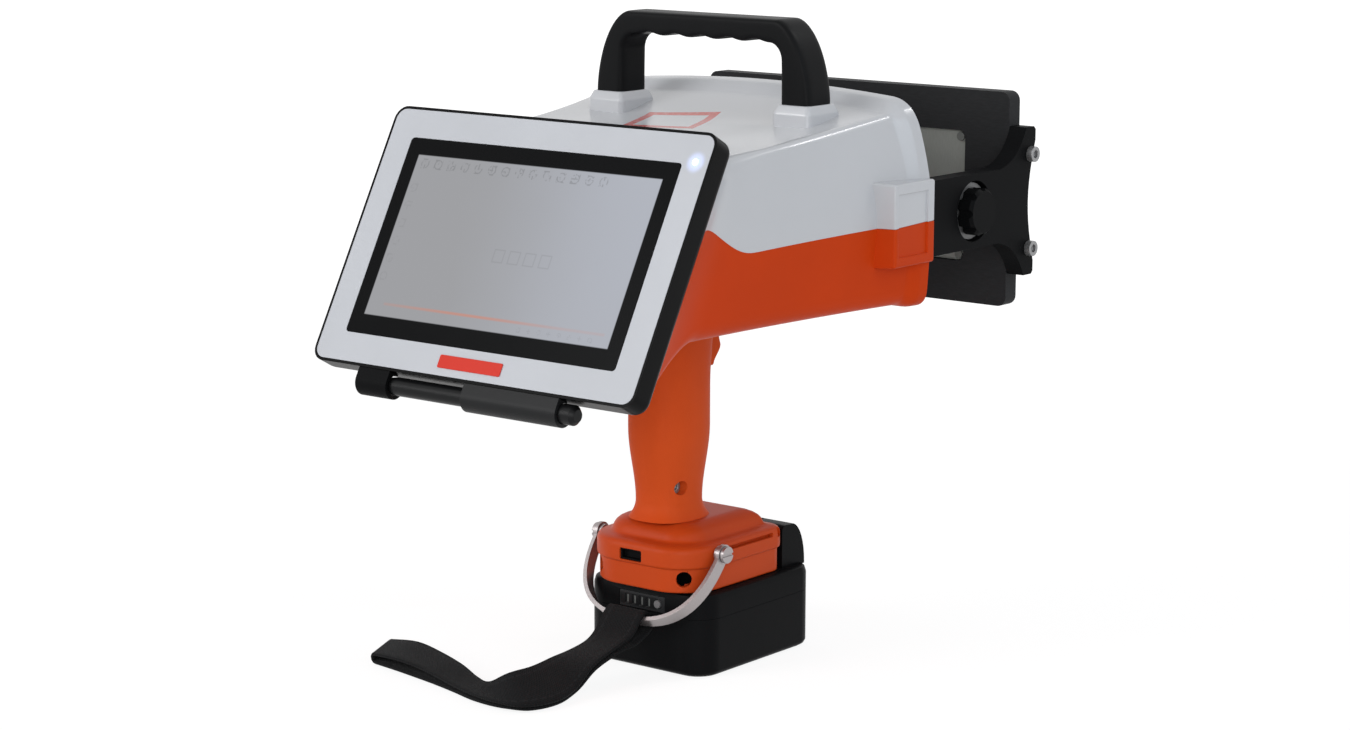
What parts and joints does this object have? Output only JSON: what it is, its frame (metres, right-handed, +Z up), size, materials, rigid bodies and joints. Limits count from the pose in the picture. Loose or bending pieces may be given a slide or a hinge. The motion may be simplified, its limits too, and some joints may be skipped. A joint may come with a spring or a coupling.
{
  "type": "handheld date code marking machine",
  "caption": "Hand-held date code marking machine: pistol grip on a slide-on battery, tilted touch display, carry handle and a windowed guard plate on two arms in front of the marking head.",
  "frame": {"origin": "on the table under the battery pack, on the plane of symmetry", "axes": "+Z up, +Y towards the work through the front plate, +X to the operator's right"},
  "size_m": [0.2331, 0.3233, 0.327],
  "materials": {
    "white_plastic": "smooth moulded, semi-gloss",
    "orange_plastic": "fine moulded texture",
    "black_plastic": "fine moulded texture",
    "black_metal": "black anodised",
    "black_case": "battery case, satin",
    "grey_sheet": "grey painted",
    "glass_face": "printed touch glass",
    "panel": "display module",
    "board": "circuit board",
    "lamp": "clear lens",
    "red_badge": "plain red inlay",
    "steel": "bright",
    "frame_metal": "milled",
    "motor": "black coated",
    "bronze": "turned",
    "cell": "wrapped cell",
    "strap": "woven webbing",
    "button": "satin"
  },
  "bodies": {
    "housing": {"upper_cover": "white_plastic", "lower_housing": "orange_plastic", "front_panel": "black_plastic", "case_screws": "steel", "carry_handle": "black_plastic", "handle_screws": "steel", "display_housing": "black_plastic", "display_bezel": "white_plastic", "touch_glass": "glass_face", "lcd_panel": "panel", "display_board": "board", "power_lamp": "lamp", "badge_plate": "red_badge", "display_screws": "steel", "pen_clip_small": "black_plastic", "pen_clip_large": "black_plastic", "grip_left": "orange_plastic", "grip_right": "orange_plastic", "grip_screws": "steel", "trigger_switch": "black_plastic", "battery_foot": "orange_plastic", "terminal_block": "black_plastic", "terminal_blades": "bronze", "service_port": "black_plastic", "bail_screws": "steel", "main_board": "board", "chassis": "frame_metal", "x_rods": "steel", "x_motor": "motor"},
    "x_stage": {"x_carriage": "frame_metal", "x_nut": "bronze", "z_rods": "steel", "z_motor": "motor"},
    "z_stage": {"z_carriage": "frame_metal", "solenoid": "motor", "stylus_nose": "steel"},
    "pin": {"marking_pin": "steel"},
    "x_lead_screw": {"x_screw": "steel"},
    "z_lead_screw": {"z_screw": "steel"},
    "guard": {"front_plate": "black_plastic", "aperture_sheet": "grey_sheet", "arm_left": "black_metal", "arm_right": "black_metal", "arm_bolts": "steel", "sheet_screws": "steel", "clamp_washers": "steel", "clamp_nuts": "steel"},
    "left_knob": {"knob_left": "black_plastic"},
    "right_knob": {"knob_right": "black_plastic"},
    "battery": {"battery_case": "black_case", "battery_lid": "black_case", "battery_cells": "cell", "gauge_panel": "button"},
    "latch": {"latch_button": "button"},
    "check_button": {"gauge_button": "button"},
    "trigger": {"trigger_button": "orange_plastic"},
    "bail_loop": {"bail": "steel", "hand_strap": "strap"},
    "pen": {"pen_barrel": "black_plastic", "pen_tip": "black_plastic"}
  },
  "joints": [
    {"name": "x_travel", "type": "slide", "parent": "housing", "child": "x_stage", "axis": [1, 0, 0], "range_m": [-0.02, 0.02]},
    {"name": "x_screw_spin", "type": "hinge", "parent": "housing", "child": "x_lead_screw", "pos_m": [0, -0.007, 0.2285], "axis": [1, 0, 0], "range_deg": [-920, 920]},
    {"name": "z_travel", "type": "slide", "parent": "x_stage", "child": "z_stage", "axis": [0, 0, 1], "range_m": [-0.01, 0.01]},
    {"name": "z_screw_spin", "type": "hinge", "parent": "x_stage", "child": "z_lead_screw", "pos_m": [0, 0.011, 0.2285], "axis": [0, 0, 1], "range_deg": [-920, 920]},
    {"name": "pin_strike", "type": "slide", "parent": "z_stage", "child": "pin", "axis": [0, 1, 0], "range_m": [0, 0.006], "stiffness_N_per_m": 200},
    {"name": "guard_slide", "type": "slide", "parent": "housing", "child": "guard", "axis": [0, 1, 0], "range_m": [-0.02, 0]},
    {"name": "left_knob_turn", "type": "hinge", "parent": "guard", "child": "left_knob", "pos_m": [-0.1, 0.0855, 0.2285], "axis": [1, 0, 0], "continuous": true},
    {"name": "right_knob_turn", "type": "hinge", "parent": "guard", "child": "right_knob", "pos_m": [0.1, 0.0855, 0.2285], "axis": [1, 0, 0], "continuous": true},
    {"name": "battery_slide", "type": "slide", "parent": "housing", "child": "battery", "axis": [0, 1, 0], "range_m": [0, 0.1]},
    {"name": "latch_press", "type": "slide", "parent": "battery", "child": "latch", "axis": [0, 0, -1], "range_m": [0, 0.004], "stiffness_N_per_m": 400},
    {"name": "check_press", "type": "slide", "parent": "battery", "child": "check_button", "axis": [0, 1, 0], "range_m": [0, 0.001], "stiffness_N_per_m": 300},
    {"name": "trigger_pull", "type": "slide", "parent": "housing", "child": "trigger", "axis": [0, -1, 0], "range_m": [0, 0.004], "stiffness_N_per_m": 800},
    {"name": "bail_swing", "type": "hinge", "parent": "housing", "child": "bail_loop", "pos_m": [0, -0.032, 0.0624], "axis": [-1, 0, 0], "range_deg": [0, 80], "deforming": ["hand_strap"]},
    {"name": "pen_slide", "type": "slide", "parent": "housing", "child": "pen", "axis": [1, 0, 0], "range_m": [0, 0.13]}
  ],
  "couplings": [
    {"joint": "x_screw_spin", "follows": "x_travel", "rad_per_m": 785.4},
    {"joint": "z_screw_spin", "follows": "z_travel", "rad_per_m": 1570.8}
  ]
}
